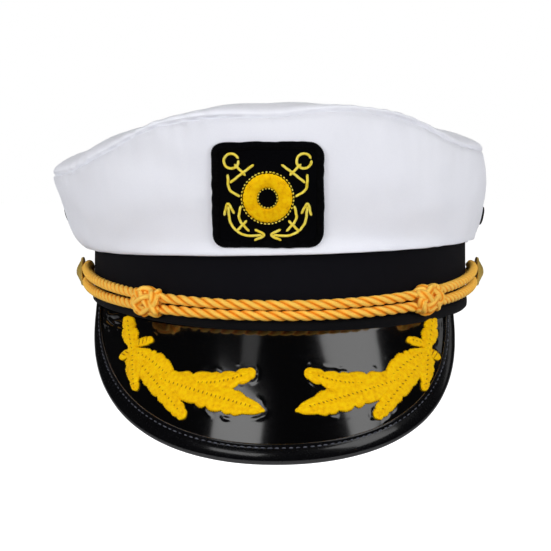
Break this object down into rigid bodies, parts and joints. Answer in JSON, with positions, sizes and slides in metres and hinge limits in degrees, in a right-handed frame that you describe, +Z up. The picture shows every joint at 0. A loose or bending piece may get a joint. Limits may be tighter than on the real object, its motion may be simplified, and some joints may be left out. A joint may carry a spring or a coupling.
{
  "type": "peaked cap",
  "caption": "Captain's peaked cap: soft white crown with a front badge, black band, glossy visor with leaf embroidery, twisted chin cord with sliding knots, brass buttons.",
  "frame": {"origin": "centre of the head opening, in the plane of the band's lower edge", "axes": "+Z up through the crown, -Y to the front where the visor is, +X to the right-hand side seen from the front"},
  "size_m": [0.1971, 0.2482, 0.1405],
  "materials": {
    "crown_cloth": "white cotton twill, matte, finely woven",
    "seam_tape": "white cotton tape",
    "stay_board": "stiff fibre sheet, matte",
    "lining_cloth": "thin white lining cloth, slight sheen",
    "black_eyelet": "black lacquered metal",
    "band_cloth": "black fine woven cloth, matte",
    "piping_cloth": "black cloth, matte",
    "sweatband_leather": "black artificial leather, fine grain",
    "label_cloth": "white satin label, blank",
    "patent_vinyl": "black patent vinyl, high gloss",
    "visor_lining_cloth": "black woven cloth, matte",
    "binding_vinyl": "black vinyl strip, satin, sewn",
    "gold_thread": "golden yellow satin stitch thread",
    "pale_gold_thread": "pale gold line stitch thread",
    "cord_rayon": "golden orange twisted rayon cord, satin",
    "button_brass": "pale brass, polished",
    "retainer_steel": "plain steel",
    "badge_felt": "black felt ground",
    "badge_thread": "black overlock thread"
  },
  "bodies": {
    "cap": {"crown_top_panel": "crown_cloth", "crown_front_panel": "crown_cloth", "crown_back_panel": "crown_cloth", "crown_rim_tape": "seam_tape", "crown_front_stay": "stay_board", "crown_lining_side": "lining_cloth", "crown_lining_top": "lining_cloth", "vent_eyelets_left": "black_eyelet", "vent_eyelets_right": "black_eyelet", "vent_washers_left": "black_eyelet", "vent_washers_right": "black_eyelet", "hat_band": "band_cloth", "band_stiffener": "stay_board", "band_lower_piping": "piping_cloth", "sweatband": "sweatband_leather", "size_label": "label_cloth", "visor_skin": "patent_vinyl", "visor_board": "stay_board", "visor_lining": "visor_lining_cloth", "visor_edge_binding": "binding_vinyl", "visor_leaf_left": "gold_thread", "visor_leaf_right": "gold_thread", "badge_patch": "badge_felt", "badge_border": "badge_thread", "badge_ring": "gold_thread", "badge_anchors": "pale_gold_thread"},
    "chin_cord": {"chin_cord_upper": "cord_rayon", "chin_cord_lower": "cord_rayon"},
    "knot_left_slider": {"knot_left": "cord_rayon"},
    "knot_right_slider": {"knot_right": "cord_rayon"},
    "button_left": {"button_shell_left": "button_brass", "button_back_left": "button_brass", "button_retainer_left": "retainer_steel"},
    "button_right": {"button_shell_right": "button_brass", "button_back_right": "button_brass", "button_retainer_right": "retainer_steel"}
  },
  "joints": [
    {"name": "chin_cord_swing", "type": "hinge", "parent": "cap", "child": "chin_cord", "pos_m": [0, -0.016, 0.0184], "axis": [-1, 0, 0], "range_deg": [0, 9]},
    {"name": "knot_left_slide", "type": "hinge", "parent": "chin_cord", "child": "knot_left_slider", "pos_m": [0, -0.016, 0.0184], "axis": [0, -0.1078, 0.9942], "range_deg": [-26, 22]},
    {"name": "knot_right_slide", "type": "hinge", "parent": "chin_cord", "child": "knot_right_slider", "pos_m": [0, -0.016, 0.0184], "axis": [0, -0.1078, 0.9942], "range_deg": [-28, 20]},
    {"name": "button_left_spin", "type": "hinge", "parent": "cap", "child": "button_left", "pos_m": [-0.0895, -0.016, 0.0184], "axis": [-1, 0, 0], "continuous": true},
    {"name": "button_right_spin", "type": "hinge", "parent": "cap", "child": "button_right", "pos_m": [0.0895, -0.016, 0.0184], "axis": [1, 0, 0], "continuous": true}
  ]
}
